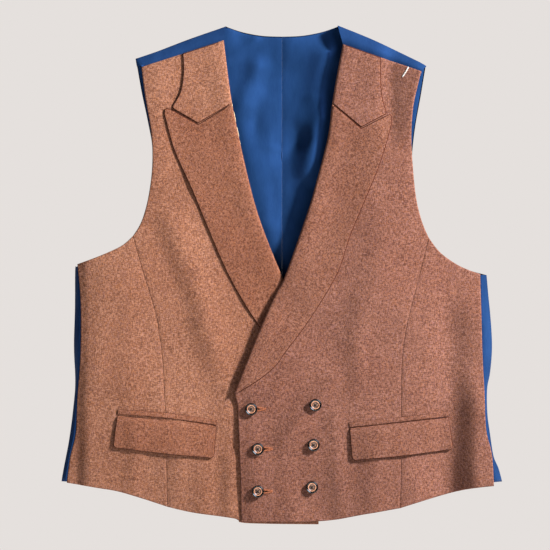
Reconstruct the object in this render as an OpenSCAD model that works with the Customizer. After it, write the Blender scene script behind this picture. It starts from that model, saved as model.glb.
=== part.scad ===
// Double-breasted waistcoat, buttoned and hanging straight, drawn upright:
// +Z runs to the collar, the fronts face -Y, +X is the wearer's left.
// The origin is the hanging point between the shoulders.
// _r is the wearer's right (the under front), _l the wearer's left (the over front).

/* [Garment] */
// Neck point of the shoulder down to the lowest point of the hem, mm
garment_length = 600; // [480:1:720]
// Pit to pit across the closed garment, mm
chest_width = 500; // [400:1:640]
// Under front's outer face to the back's outer face, mm
body_depth = 17; // [14:0.5:60]
// How far the over front lies ahead of the under front, mm
overlap_step = 6.6; // [6.2:0.1:12]

/* [Cloth] */
// Suiting cloth of the fronts, folded seams included, mm
cloth_t = 1.0; // [0.6:0.1:1.6]
// Canvas interlining behind the fronts, mm
canvas_t = 0.7; // [0.3:0.1:1.2]
// Lining of the fronts and of the back, mm
lining_t = 0.5; // [0.3:0.1:0.8]
// Satin of the back, mm
satin_t = 0.8; // [0.4:0.1:1.2]
// Lapel or collar: two cloths and their canvas, mm
lapel_t = 2.0; // [1.2:0.1:2.6]
// Air between two plies, mm
ply_gap = 0.1; // [0.05:0.01:0.2]

/* [Pockets] */
// Length of the welt and of the flap, mm
pocket_w = 120; // [90:1:150]
// Visible height of the welt above the flap, mm
welt_h = 5; // [4:0.5:10]
// How far the flap hangs below its hinge line, mm
flap_drop = 39.5; // [25:0.5:55]
// Corner radius of the flap, mm
flap_corner = 4; // [2:0.5:12]
// Slope of both pockets down towards the middle, degrees
pocket_slope = 6.2; // [0:0.2:12]
// Depth of the pocket bag below the welt, mm
bag_depth = 82; // [60:1:86]
// Pocketing cloth, mm
pocketing_t = 0.3; // [0.2:0.05:0.4]
// Air inside the flat pocket bag, mm
bag_air = 0.6; // [0.3:0.1:1]

/* [Buttons] */
// Button diameter, mm (24 ligne)
button_d = 15; // [11:0.5:20]
// Button thickness at the rim, mm
button_t = 3.2; // [2.4:0.1:4.5]
// Cloth face to the back of a button, mm
button_gap = 1.1; // [0.9:0.1:2]
// Sewing hole in a button, mm
button_hole_d = 1.8; // [1.4:0.1:2.4]
// Thread shank below a button, mm
shank_d = 1.8; // [1.2:0.1:2]
// Widest opening of a buttonhole that its shank holds open, mm
slit_h = 4.4; // [4.2:0.1:6]
// Width of the worked stitches round a buttonhole, mm
stitch_w = 1.5; // [1:0.1:2.5]

/* [Back strap] */
// Width of the two back straps, mm
strap_w = 25; // [18:0.5:32]
// Height of the straps' centre line, mm
strap_z = -428; // [-470:1:-380]
// Wire of the buckle, diameter, mm
wire_d = 2; // [1.6:0.1:2.4]
// Distance between the buckle's two upright bars, mm
buckle_w = 20; // [18:0.5:26]

/* [Hidden] */

R = -1;
L = 1;
sx = chest_width / 500;
sz = garment_length / 600;
face_r = -body_depth / 2;
face_l = face_r - overlap_step;
back_y = body_depth / 2;
canvas_at = cloth_t + ply_gap;
bag_t = 2 * pocketing_t + bag_air;
bag_at = canvas_at + canvas_t + ply_gap;
lining_at = bag_at + bag_t + ply_gap;

function face(s) = s < 0 ? face_r : face_l;
// scales a list of points with the garment
function S(v) = [for (p = v) [p[0] * sx, p[1] * sz]];
function rev(v) = [for (i = [len(v) - 1:-1:0]) v[i]];
function move(v, dx, dz) = [for (p = v) [p[0] + dx, p[1] + dz]];
// runs lists that share their end points together into one outline
function chain(vs) = [for (v = vs) for (i = [0:len(v) - 2]) v[i]];
function spline(a, b, c, d, t) = 0.5 * (2 * b + (c - a) * t
  + (2 * a - 5 * b + 4 * c - d) * t * t + (3 * b - a - 3 * c + d) * t * t * t);
// smooth line through hand-set points, n steps to a span
function curve(v, n = 3) = let (k = len(v)) concat(
  [for (i = [0:k - 2]) for (j = [0:n - 1])
    spline(v[max(i - 1, 0)], v[i], v[i + 1], v[min(i + 2, k - 1)], j / n)],
  [v[k - 1]]);

// ---- pattern lines: the wearer's right front (under) ----
shoulder_r = S([[-169, -50], [-70, -18]]);
neck_r = curve(S([[-70, -18], [-65, -59], [-60, -94]]));
roll_r = curve(S([[-60, -94], [-51, -138], [-37, -198], [-25, -238], [-8, -282],
  [10, -323], [24, -365], [38, -409], [46, -445]]));
edge_r = curve(S([[46, -445], [46, -510], [45, -553], [44, -600]]));
arm_r = curve(S([[-169, -50], [-164, -88], [-157, -130], [-156, -170],
  [-161, -208], [-169, -236], [-179, -253]]));
arm_low_r = curve(S([[-179, -253], [-193, -265], [-219, -277], [-246, -287]]));
side_r = curve(S([[-246, -287], [-242, -330], [-242, -395], [-246, -448],
  [-248, -490], [-255, -519], [-259, -550]]));
hem_side_r = curve(S([[-259, -550], [-223, -556], [-191, -562], [-138, -579]]));
hem_r = curve(S([[-138, -579], [-107, -586], [-57, -593], [-43, -598.5], [44, -600]]));
dart_r = curve(S([[-179, -253], [-170, -286], [-153, -342], [-146, -380],
  [-142, -426], [-139, -519], [-138, -579]]));
lapel_edge_r = curve(S([[-142, -106], [-136, -130], [-128, -155], [-109, -197],
  [-92, -238], [-65, -300], [-34, -353], [-6, -390], [8, -409], [27, -431],
  [46, -445]]));
peak_r = S([[-60, -94], [-101, -118.8], [-132, -101.6], [-138, -99.2], [-141, -100.6],
  [-142, -106]]);
collar_edge_r = concat(S([[-60, -94], [-101, -118], [-130.5, -100.6], [-132, -98.4]]),
  curve(S([[-131, -95.5], [-122.5, -80], [-119, -58], [-119.5, -34]])));

// ---- the wearer's left front (over) ----
shoulder_l = S([[167, -56], [73, -23]]);
neck_l = curve(S([[73, -23], [66, -59], [60, -94]]));
roll_l = curve(S([[60, -94], [55, -134], [42, -185], [31, -223], [4, -300],
  [-8, -323], [-27, -365], [-44, -407], [-52, -427], [-58, -443]]));
edge_l = curve(S([[-58, -443], [-53.5, -456], [-52.5, -480], [-51.5, -510],
  [-50, -550], [-49, -597]]));
arm_l = curve(S([[167, -56], [163, -71], [157, -100], [155, -134], [157, -170],
  [161, -208], [168, -236], [176, -255]]));
arm_low_l = curve(S([[176, -255], [190, -273], [213, -289], [238, -299]]));
side_l = curve(S([[238, -299], [240, -384], [242.5, -438], [244.5, -485],
  [251.5, -515], [254, -553]]));
hem_side_l = curve(S([[254, -553], [223, -557], [181, -568], [142, -580]]));
hem_l = curve(S([[142, -580], [97, -588], [46, -596], [-49, -597]]));
dart_l = curve(S([[176, -255], [165, -300], [150, -359], [144, -405],
  [143, -466], [143, -523], [142, -580]]));
lapel_edge_l = curve(S([[132, -113], [130, -126], [118, -166], [101, -208],
  [82, -254], [66, -300], [34, -353], [6, -391], [-8, -410], [-28, -426.5],
  [-52, -441], [-58, -443]]));
peak_l = S([[60, -94], [95, -123.8], [125.6, -108.4], [129.5, -106.6], [131.6, -109],
  [132, -113]]);
collar_edge_l = concat(S([[60, -94], [95, -123], [124, -107.6], [125.4, -106]]),
  curve(S([[125, -103.5], [120, -84], [118.6, -60], [119, -39.2]])));

function centre_pts(s) = s < 0
  ? chain([shoulder_r, neck_r, roll_r, edge_r, rev(hem_r), rev(dart_r), rev(arm_r)])
  : chain([shoulder_l, neck_l, roll_l, edge_l, rev(hem_l), rev(dart_l), rev(arm_l)]);
function side_pts(s) = s < 0
  ? chain([arm_low_r, side_r, hem_side_r, rev(dart_r)])
  : chain([arm_low_l, side_l, hem_side_l, rev(dart_l)]);
function front_pts(s) = s < 0
  ? chain([shoulder_r, neck_r, roll_r, edge_r, rev(hem_r), rev(hem_side_r),
      rev(side_r), rev(arm_low_r), rev(arm_r)])
  : chain([shoulder_l, neck_l, roll_l, edge_l, rev(hem_l), rev(hem_side_l),
      rev(side_l), rev(arm_low_l), rev(arm_l)]);
// where the facing ends and the lining begins, out past the garment's edges
function facing_pts(s) = s < 0
  ? concat(curve(S([[-128, 10], [-126, -36], [-118, -100], [-107, -150],
      [-92, -210], [-72, -270], [-46, -330], [-30, -400], [-24, -470],
      [-21, -530], [-20, -640]])), S([[120, -640], [120, 10]]))
  : concat(curve(S([[128, 10], [126, -41], [116, -100], [107, -150],
      [93, -210], [72, -270], [44, -330], [26, -400], [20, -470],
      [18, -530], [17, -640]])), S([[-120, -640], [-120, 10]]));

// ---- the back ----
back_shoulder_r = curve(S([[-176, -40], [-146, -30], [-108, -16], [-67, -1]]));
back_neck_r = curve(S([[-67, -1], [-48, -7.5], [-24, -12], [0, -13]]));
back_arm_r = curve(S([[-176, -40], [-169, -80], [-161, -118], [-156, -150],
  [-157, -200], [-168, -240], [-188, -266], [-219, -281], [-248, -290]]));
back_side_r = curve(S([[-248, -290], [-249, -340], [-250, -384], [-248, -426],
  [-251, -460], [-257, -506], [-265, -548]]));
back_shoulder_l = curve(S([[173, -49], [147, -36], [109, -18], [67, -1]]));
back_neck_l = curve(S([[67, -1], [48, -7.5], [24, -12], [0, -13]]));
back_arm_l = curve(S([[173, -49], [167, -85], [160, -125], [156.5, -165],
  [160, -205], [168, -238], [188, -270], [214, -290], [246, -300]]));
back_side_l = curve(S([[246, -300], [250, -353], [252, -390], [250, -418],
  [246.5, -436], [246, -466], [249, -490], [254, -518], [260, -532], [264.5, -548]]));

function back_pts(s) = s < 0
  ? chain([back_shoulder_r, back_neck_r, S([[0, -13], [0, -552], [-265, -548]]),
      rev(back_side_r), rev(back_arm_r)])
  : chain([back_shoulder_l, back_neck_l, S([[0, -13], [0, -552], [264.5, -548]]),
      rev(back_side_l), rev(back_arm_l)]);

// a flat ply between two depths along Y
module slab(y0, y1, pts) {
  translate([0, y1, 0]) rotate([90, 0, 0]) linear_extrude(height = y1 - y0) polygon(pts);
}
// a ply of a front: its depth behind the front's face, and its thickness
module ply(s, at, t, pts) { slab(face(s) + at, face(s) + at + t, pts); }

// local frame of a pocket: X along the welt, Z up the front, Y = 0 on the face
module at_pocket(s) {
  translate([s < 0 ? -137.5 * sx : 140 * sx, face(s), (s < 0 ? -468.5 : -470.8) * sz])
    rotate([0, s < 0 ? pocket_slope : -pocket_slope, 0]) children();
}
hinge_z = -welt_h - 1.6;
slit_top = hinge_z + 0.4;
slit_cut = 6;
module pocket_slit(s) {
  at_pocket(s) translate([-pocket_w / 2 + 4, -1, slit_top - slit_cut])
    cube([pocket_w - 8, 1 + bag_at + pocketing_t, slit_cut]);
}

// fastening buttons close the overlap, show buttons mirror them
fasten = [[-37 * sx, -461 * sz], [-29 * sx, -509 * sz], [-29 * sx, -560 * sz]];
show = [[40 * sx, -456 * sz], [38 * sx, -504 * sz], [36 * sx, -555 * sz]];
// a buttonhole is a slit that the shank pulls into a long drop, pointed at its far end
hole_end = button_d / 2 + 8;
function drop(x0, x1, h) = concat(
  [for (i = [0:11]) let (t = i / 12) [x0 + (x1 - x0) * t, h * sin(180 * pow(t, 0.65))]],
  [[x1, 0]],
  [for (i = [11:-1:1]) let (t = i / 12)
    [x0 + (x1 - x0) * t, -h * sin(180 * pow(t, 0.65))]]);
hole_pts = drop(-shank_d / 2 - 1.3, hole_end, slit_h / 2);
stitch_pts = drop(-shank_d / 2 - 1.3 - stitch_w - 0.6, hole_end + stitch_w + 0.8,
  slit_h / 2 + stitch_w);
module hole_cut() {
  for (p = fasten)
    slab(face_l - 1, face_l + lining_at + lining_t + 1, move(hole_pts, p[0], p[1]));
}

// ---- fronts ----
module front_centre(s) {
  color([0.63, 0.44, 0.37]) difference() {
    ply(s, 0, cloth_t, centre_pts(s));
    pocket_slit(s);
    if (s > 0) hole_cut();
  }
}
module front_side(s) {
  color([0.63, 0.44, 0.37]) difference() {
    ply(s, 0, cloth_t, side_pts(s));
    pocket_slit(s);
  }
}
module canvas(s) {
  color([0.85, 0.80, 0.70]) difference() {
    ply(s, canvas_at, canvas_t, centre_pts(s));
    pocket_slit(s);
    if (s > 0) hole_cut();
  }
}
module facing(s) {
  color([0.60, 0.41, 0.34]) difference() {
    intersection() {
      ply(s, lining_at, lining_t, front_pts(s));
      ply(s, lining_at - 1, lining_t + 2, facing_pts(s));
    }
    if (s > 0) hole_cut();
  }
}
module front_lining(s) {
  color([0.10, 0.20, 0.40]) difference() {
    ply(s, lining_at, lining_t, front_pts(s));
    ply(s, lining_at - 1, lining_t + 2, facing_pts(s));
  }
}
module lapel(s) {
  color([0.65, 0.46, 0.38]) ply(s, -lapel_t, lapel_t,
    s < 0 ? chain([roll_r, rev(lapel_edge_r), rev(peak_r)])
          : chain([roll_l, rev(lapel_edge_l), rev(peak_l)]));
}
module collar(s) {
  color([0.64, 0.45, 0.37]) ply(s, -lapel_t, lapel_t,
    s < 0 ? concat(chain([neck_r, [collar_edge_r[0], collar_edge_r[0]]]),
              [for (i = [1:len(collar_edge_r) - 1]) collar_edge_r[i]])
          : concat(chain([neck_l, [collar_edge_l[0], collar_edge_l[0]]]),
              [for (i = [1:len(collar_edge_l) - 1]) collar_edge_l[i]]));
}

// ---- pockets ----
module pocket_welt(s) {
  color([0.60, 0.41, 0.34]) at_pocket(s)
    translate([-pocket_w / 2, -0.8, -welt_h]) cube([pocket_w, 0.8, welt_h]);
}
// lower edge of the pocket mouth, let into the slit behind the flap
module pocket_jet(s) {
  color([0.58, 0.40, 0.33]) at_pocket(s)
    translate([-pocket_w / 2 + 4.1, 0, slit_top - slit_cut + 0.05])
      cube([pocket_w - 8.2, cloth_t, slit_cut - 3.2]);
}
module pocket_bag(s) {
  color([0.80, 0.78, 0.72]) at_pocket(s) translate([0, bag_at, 0]) difference() {
    translate([-pocket_w / 2, 0, -bag_depth])
      cube([pocket_w, bag_t, bag_depth - 2]);
    translate([-pocket_w / 2 + 1.5, pocketing_t, -bag_depth + 1.5])
      cube([pocket_w - 3, bag_air, bag_depth - 5]);
    translate([-pocket_w / 2 + 4, -1, slit_top - slit_cut])
      cube([pocket_w - 8, 1 + pocketing_t + 0.1, slit_cut]);
  }
}
flap_t = 1.4;
flap_lining_t = 0.4;
// middle of the flap's thickness, ahead of the front's face
flap_y = -0.3 - flap_t / 2;
flap_pts = concat(
  [[-pocket_w / 2, 0], [-pocket_w / 2 - 1, -flap_drop + flap_corner]],
  [for (a = [195:15:255]) [-pocket_w / 2 - 1 + flap_corner * (1 + cos(a)),
    -flap_drop + flap_corner * (1 + sin(a))]],
  [[-pocket_w / 2 - 1 + flap_corner, -flap_drop],
   [pocket_w / 2 + 1 - flap_corner, -flap_drop]],
  [for (a = [285:15:345]) [pocket_w / 2 + 1 - flap_corner * (1 - cos(a)),
    -flap_drop + flap_corner * (1 + sin(a))]],
  [[pocket_w / 2 + 1, -flap_drop + flap_corner], [pocket_w / 2, 0]]);
module at_hinge(s) { at_pocket(s) translate([0, flap_y, hinge_z]) children(); }
module pocket_flap(s) {
  color([0.62, 0.42, 0.34]) at_hinge(s) {
    slab(-flap_t / 2, flap_t / 2 - flap_lining_t, flap_pts);
    difference() {
      translate([-pocket_w / 2, 0, 0]) rotate([0, 90, 0])
        cylinder(d = flap_t, h = pocket_w, $fn = 24);
      translate([-pocket_w, -2, -10]) cube([2 * pocket_w, 4, 10]);
    }
  }
}
module flap_lining(s) {
  color([0.12, 0.22, 0.42]) at_hinge(s)
    slab(flap_t / 2 - flap_lining_t, flap_t / 2, flap_pts);
}

// ---- the back: a shallow tray that turns forward to the side and shoulder seams ----
module back_outer(s) {
  side = s < 0 ? back_side_r : back_side_l;
  sh = s < 0 ? back_shoulder_r : back_shoulder_l;
  seam = s < 0 ? side_r : side_l;
  color([0.12, 0.24, 0.44]) union() {
    slab(back_y - satin_t, back_y, back_pts(s));
    // returns along the side and the shoulder
    slab(face(s) + 0.1, back_y, concat(side, rev(move(side, -s * satin_t, 0))));
    slab(face(s) + 0.1, back_y, concat(sh, rev(move(sh, 0, -satin_t))));
    // the strips that show in front, out to the seams
    ply(s, 0.1, satin_t, concat(side, rev(seam)));
    ply(s, 0.1, satin_t, concat(sh, s < 0 ? rev(shoulder_r) : rev(shoulder_l)));
  }
}
module back_lining(s) {
  color([0.15, 0.29, 0.52]) intersection() {
    slab(back_y - satin_t - ply_gap - lining_t, back_y - satin_t - ply_gap,
      move(back_pts(s), -s * 1.6, -1.6));
    translate([s < 0 ? -400 * sx : 0, 0, -546 * sz])
      cube([400 * sx, 100, 600 * sz]);
  }
}

// ---- buttons ----
module button() {
  r = button_d / 2;
  dish = 1.9;
  color([0.08, 0.07, 0.08]) difference() {
    rotate_extrude($fn = 64) polygon(concat(
      [[0, 0], [r - 1.4, 0]],
      [for (a = [-60:20:60]) [r - 0.9 + 0.9 * cos(a), 1.3 + 0.9 * sin(a)]],
      [[r - 1.1, button_t - 0.35]],
      [for (a = [60:20:120]) [r - 1.9 + 0.9 * cos(a), button_t - 0.9 + 0.9 * sin(a)]],
      [[r - 3.1, dish + 0.35], [r - 3.9, dish], [0, dish]]));
    for (a = [45:90:315]) rotate([0, 0, a]) translate([1.9, 0, -1])
      cylinder(d = button_hole_d, h = 6, $fn = 24);
  }
}
// four threads through the holes, the cross on the face, and the shank
module thread(len) {
  color([0.22, 0.17, 0.16]) union() {
    for (a = [45:90:315]) rotate([0, 0, a]) translate([1.9, 0, -0.3])
      cylinder(d = 1.1, h = 2.6, $fn = 20);
    for (a = [45, 135]) rotate([0, 0, a]) translate([-1.9, 0, 2.45]) rotate([0, 90, 0])
      cylinder(d = 1.0, h = 3.8, $fn = 20);
    translate([0, 0, -0.35]) cylinder(d = 5, h = 0.35, $fn = 32);
    translate([0, 0, -len]) cylinder(d = shank_d, h = len, $fn = 24);
  }
}
module at_button(p) {
  translate([p[0], face_l - button_gap, p[1]]) rotate([90, 0, 0]) children();
}
// worked stitches round a buttonhole, on the over front's face
module buttonhole(p) {
  color([0.80, 0.44, 0.26]) difference() {
    slab(face_l - 0.4, face_l, move(stitch_pts, p[0], p[1]));
    slab(face_l - 1, face_l + 1, move(hole_pts, p[0], p[1]));
  }
}
shank_fasten = button_gap + overlap_step - 0.15;
shank_show = button_gap - 0.15;

// ---- back strap and buckle ----
bar_y = back_y + ply_gap + 1 + 0.5 + wire_d / 2;
bar_x = buckle_w / 2;
loop_d = wire_d + 2.0;
tail_y = bar_y + loop_d / 2 + 0.35;
module along_z(h) { translate([0, 0, -h / 2]) linear_extrude(height = h) children(); }
module strap_r() {
  color([0.11, 0.22, 0.42]) translate([0, 0, strap_z * sz]) difference() {
    union() {
      translate([-246 * sx, back_y + ply_gap, -strap_w / 2])
        cube([246 * sx - bar_x - 1, 1, strap_w]);
      translate([-bar_x, bar_y, 0]) translate([0, 0, -strap_w / 2])
        cylinder(d = loop_d, h = strap_w, $fn = 40);
      translate([-bar_x - 2, back_y + ply_gap, -strap_w / 2])
        cube([2, bar_y - back_y - ply_gap, strap_w]);
    }
    translate([-bar_x, bar_y, -strap_w]) cylinder(d = wire_d + 0.2, h = 2 * strap_w, $fn = 32);
    // the tongue's tube turns between the two loops
    translate([-bar_x - 3.2, back_y - 1, -7.7]) cube([8, 12, 15.4]);
  }
}
module strap_l() {
  y0 = back_y + ply_gap;
  color([0.11, 0.22, 0.42]) translate([0, 0, strap_z * sz]) difference() {
    along_z(strap_w) polygon([[246 * sx, y0], [246 * sx, y0 + 1], [bar_x - 2.4, y0 + 1],
      [-bar_x + 5.4, tail_y + 1], [-bar_x - 4, tail_y + 1], [-bar_x - 20, y0 + 2.4],
      [-76, y0 + 2.2], [-76, y0 + 1.2], [-bar_x - 20.4, y0 + 1.4],
      [-bar_x - 4.4, tail_y], [-bar_x + 5, tail_y], [bar_x - 2.8, y0]]);
    for (z = [-6, 6]) translate([-bar_x - 1.2, y0 - 1, z - 1.25])
      cube([2 * bar_x - 2.4, 12, 2.5]);
  }
}
module buckle_frame() {
  h = strap_w + 6;
  color([0.75, 0.72, 0.62]) translate([0, bar_y, strap_z * sz]) union() {
    for (x = [-bar_x, bar_x]) translate([x, 0, -h / 2]) cylinder(d = wire_d, h = h, $fn = 32);
    for (z = [-h / 2, h / 2]) {
      translate([-bar_x, 0, z]) rotate([0, 90, 0]) cylinder(d = wire_d, h = 2 * bar_x, $fn = 32);
      for (x = [-bar_x, bar_x]) translate([x, 0, z]) sphere(d = wire_d, $fn = 32);
    }
  }
}
tooth_d = 1.4;
tooth_rise = atan((wire_d / 2 + 0.3 + tooth_d / 2) / (2 * bar_x));
module buckle_tongue() {
  color([0.78, 0.75, 0.66]) translate([-bar_x, bar_y, strap_z * sz]) difference() {
    union() {
      translate([0, 0, -7]) cylinder(d = wire_d + 1.6, h = 14, $fn = 40);
      for (z = [-6, 6]) translate([0, 0, z]) rotate([0, 0, tooth_rise]) rotate([0, 90, 0])
        cylinder(d = tooth_d, h = 2 * bar_x + 2.4, $fn = 24);
    }
    translate([0, 0, -8]) cylinder(d = wire_d + 0.16, h = 16, $fn = 32);
  }
}

// basting thread left at the wearer's left shoulder
module shoulder_tack() {
  color([0.93, 0.93, 0.92]) union() for (d = [0, 1.3])
    translate([(150 + d) * sx, face_l - 0.36, -51.5 * sz]) rotate([0, 206 - 3 * d, 0])
      cylinder(d = 0.7, h = 12.5, $fn = 16);
}

front_centre(R);  // front_centre_r
front_centre(L);  // front_centre_l
front_side(R);  // front_side_r
front_side(L);  // front_side_l
lapel(R);  // lapel_r
lapel(L);  // lapel_l
collar(R);  // collar_r
collar(L);  // collar_l
facing(R);  // facing_r
facing(L);  // facing_l
canvas(R);  // canvas_r
canvas(L);  // canvas_l
front_lining(R);  // front_lining_r
front_lining(L);  // front_lining_l
pocket_welt(R);  // pocket_welt_r
pocket_welt(L);  // pocket_welt_l
pocket_jet(R);  // pocket_jet_r
pocket_jet(L);  // pocket_jet_l
pocket_bag(R);  // pocket_bag_r
pocket_bag(L);  // pocket_bag_l
pocket_flap(R);  // pocket_flap_r
pocket_flap(L);  // pocket_flap_l
flap_lining(R);  // flap_lining_r
flap_lining(L);  // flap_lining_l
back_outer(R);  // back_outer_r
back_outer(L);  // back_outer_l
back_lining(R);  // back_lining_r
back_lining(L);  // back_lining_l
buttonhole(fasten[0]);  // buttonhole_top
buttonhole(fasten[1]);  // buttonhole_mid
buttonhole(fasten[2]);  // buttonhole_low
at_button(fasten[0]) button();  // button_fasten_top
at_button(fasten[1]) button();  // button_fasten_mid
at_button(fasten[2]) button();  // button_fasten_low
at_button(show[0]) button();  // button_show_top
at_button(show[1]) button();  // button_show_mid
at_button(show[2]) button();  // button_show_low
at_button(fasten[0]) thread(shank_fasten);  // thread_fasten_top
at_button(fasten[1]) thread(shank_fasten);  // thread_fasten_mid
at_button(fasten[2]) thread(shank_fasten);  // thread_fasten_low
at_button(show[0]) thread(shank_show);  // thread_show_top
at_button(show[1]) thread(shank_show);  // thread_show_mid
at_button(show[2]) thread(shank_show);  // thread_show_low
strap_r();
strap_l();
buckle_frame();
buckle_tongue();
shoulder_tack();
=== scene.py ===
"""Double-breasted waistcoat: suiting fronts with peak lapels, satin back, horn buttons."""
import math
import random

import bpy
import numpy as np
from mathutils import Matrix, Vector
from mathutils.geometry import delaunay_2d_cdt


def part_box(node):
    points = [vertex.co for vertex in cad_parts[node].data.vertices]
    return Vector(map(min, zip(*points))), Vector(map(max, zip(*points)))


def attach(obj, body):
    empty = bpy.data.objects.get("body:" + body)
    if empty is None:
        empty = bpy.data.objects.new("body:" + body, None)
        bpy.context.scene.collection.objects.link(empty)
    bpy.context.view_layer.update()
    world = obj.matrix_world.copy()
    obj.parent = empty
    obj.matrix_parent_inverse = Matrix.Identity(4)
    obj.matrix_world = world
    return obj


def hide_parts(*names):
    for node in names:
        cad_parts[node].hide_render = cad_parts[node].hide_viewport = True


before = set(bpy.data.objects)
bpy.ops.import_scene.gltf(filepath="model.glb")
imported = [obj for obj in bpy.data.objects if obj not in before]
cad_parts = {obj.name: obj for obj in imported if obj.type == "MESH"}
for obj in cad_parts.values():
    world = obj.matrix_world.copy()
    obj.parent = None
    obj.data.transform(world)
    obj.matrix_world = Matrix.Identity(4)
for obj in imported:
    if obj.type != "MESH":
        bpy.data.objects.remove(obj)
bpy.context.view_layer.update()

MM = 0.001
TRUNK = "waistcoat"
ALONG_Y = 0.99  # least Y of the normal of a face that counts as flat
SAME_LEVEL = 2e-5  # m


# ---------------------------------------------------------------- reading the frame
def near(node, sign):
    """Depth in mm of a node's foremost (sign -1) or rearmost (sign 1) plane."""
    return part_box(node)[0 if sign < 0 else 1].y / MM


FACE = {"r": near("front_centre_r", -1), "l": near("front_centre_l", -1)}
BACK = near("back_outer_r", 1)
BODY_OF_BUTTON = {f"{use}_{place}": f"{use}_button_{place}"
                  for use in ("fasten", "show") for place in ("top", "mid", "low")}


def middle(node):
    lo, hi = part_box(node)
    return (lo + hi) / 2 / MM


BUTTON = {k: middle(f"button_{k}") for k in BODY_OF_BUTTON}


def area_of(loop):
    x, z = loop[:, 0], loop[:, 1]
    return 0.5 * float(np.sum(x * np.roll(z, -1) - np.roll(x, -1) * z))


def loops(node, sign=-1):
    """Outlines in mm of the flat CAD face that looks along sign * Y, the largest first."""
    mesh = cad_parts[node].data
    faces = [p for p in mesh.polygons if p.normal.y * sign > ALONG_Y]
    level = max(p.center.y * sign for p in faces)
    edges = {}
    for p in faces:
        if abs(p.center.y * sign - level) > SAME_LEVEL:
            continue
        ring = [(round(mesh.vertices[i].co.x / MM, 3), round(mesh.vertices[i].co.z / MM, 3))
                for i in p.vertices]
        for a, b in zip(ring, ring[1:] + ring[:1]):
            if a == b:
                continue
            if (b, a) in edges:
                del edges[(b, a)]
            else:
                edges[(a, b)] = True
    follow = {}
    for a, b in edges:
        follow.setdefault(a, []).append(b)
    found = []
    while follow:
        start = next(iter(follow))
        ring, here = [start], start
        while True:
            options = follow[here]
            there = options.pop()
            if not options:
                del follow[here]
            if there == start or there not in follow:
                break
            ring.append(there)
            here = there
        if len(ring) > 2:
            loop = np.array(ring)
            found.append(loop if area_of(loop) > 0 else loop[::-1])
    return sorted(found, key=lambda q: -abs(area_of(q)))


# ---------------------------------------------------------------- lines and outlines, in mm
def turns(loop):
    a = loop - np.roll(loop, 1, 0)
    b = np.roll(loop, -1, 0) - loop
    return np.abs(np.arctan2(a[:, 0] * b[:, 1] - a[:, 1] * b[:, 0], (a * b).sum(1)))


def along(points, step):
    """Points on the smooth line through the given ones, about step apart, both ends kept."""
    p = np.vstack([2 * points[0] - points[1], points, 2 * points[-1] - points[-2]])
    fine = []
    for i in range(1, len(p) - 2):
        a, b, c, d = p[i - 1:i + 3]
        for t in np.linspace(0, 1, 9)[:-1]:
            fine.append(0.5 * (2 * b + (c - a) * t + (2 * a - 5 * b + 4 * c - d) * t * t
                               + (3 * b - a - 3 * c + d) * t ** 3))
    fine = np.array(fine + [p[-2]])
    run = np.concatenate([[0], np.cumsum(np.hypot(*np.diff(fine, axis=0).T))])
    k = max(1, int(round(run[-1] / step)))
    at = np.linspace(0, run[-1], k + 1)
    return np.column_stack([np.interp(at, run, fine[:, i]) for i in range(fine.shape[1])])


def smooth(loop, step=4.0, corner=0.40):
    """The outline run through smoothly between its sharp corners."""
    sharp = [i for i, t in enumerate(turns(loop)) if t > corner]
    if len(sharp) < 2:
        return along(np.vstack([loop, loop[:1]]), step)[:-1]
    out = []
    for i, j in zip(sharp, sharp[1:] + [sharp[0] + len(loop)]):
        span = np.array([loop[k % len(loop)] for k in range(i, j + 1)])
        out.append(along(span, step)[:-1])
    return np.vstack(out)


def cleaned(loop, gap=1.2):
    """The outline without points that nearly fall on the one before."""
    kept = [loop[0]]
    for p in loop[1:]:
        if np.hypot(*(p - kept[-1])) > gap:
            kept.append(p)
    if np.hypot(*(kept[-1] - kept[0])) < gap:
        kept.pop()
    return np.array(kept)


def outward(loop):
    """Unit normals of a counter-clockwise outline, lengthened a little at corners."""
    e = np.roll(loop, -1, 0) - loop
    e = e / np.maximum(np.hypot(*e.T), 1e-6)[:, None]
    n = np.column_stack([e[:, 1], -e[:, 0]])
    m = n + np.roll(n, 1, 0)
    size = np.hypot(*m.T)
    m = m / np.maximum(size, 1e-6)[:, None]
    return m * np.minimum(2 / np.maximum(size, 1e-6), 1.6)[:, None]


def inside(loop, p):
    x, z = p[:, 0][:, None], p[:, 1][:, None]
    a, b = loop, np.roll(loop, -1, 0)
    cross = (a[:, 1] > z) != (b[:, 1] > z)
    with np.errstate(divide="ignore", invalid="ignore"):
        at = a[:, 0] + (z - a[:, 1]) * (b[:, 0] - a[:, 0]) / (b[:, 1] - a[:, 1])
    return (np.sum(cross & (x < at), 1) % 2) == 1


def distance(line, x, z, closed=False):
    """Distance in mm from each point to an open or closed line."""
    a = line if closed else line[:-1]
    b = np.roll(line, -1, 0) if closed else line[1:]
    x, z = np.asarray(x, float), np.asarray(z, float)
    best = np.full(x.shape, 1e9)
    for (ax, az), (bx, bz) in zip(a, b):
        dx, dz = bx - ax, bz - az
        t = np.clip(((x - ax) * dx + (z - az) * dz) / max(dx * dx + dz * dz, 1e-9), 0, 1)
        best = np.minimum(best, np.hypot(x - ax - t * dx, z - az - t * dz))
    return best


def shared(one, other):
    """The run of one outline's points that the other outline has too."""
    have = {tuple(np.round(p, 2)) for p in other}
    keep = [tuple(np.round(p, 2)) in have for p in one]
    start = next(i for i in range(len(one)) if keep[i] and not keep[i - 1])
    run = []
    for k in range(len(one)):
        i = (start + k) % len(one)
        if not keep[i]:
            break
        run.append(one[i])
    return np.array(run)


def step_up(t):
    t = np.clip(t, 0, 1)
    return t * t * (3 - 2 * t)


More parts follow.
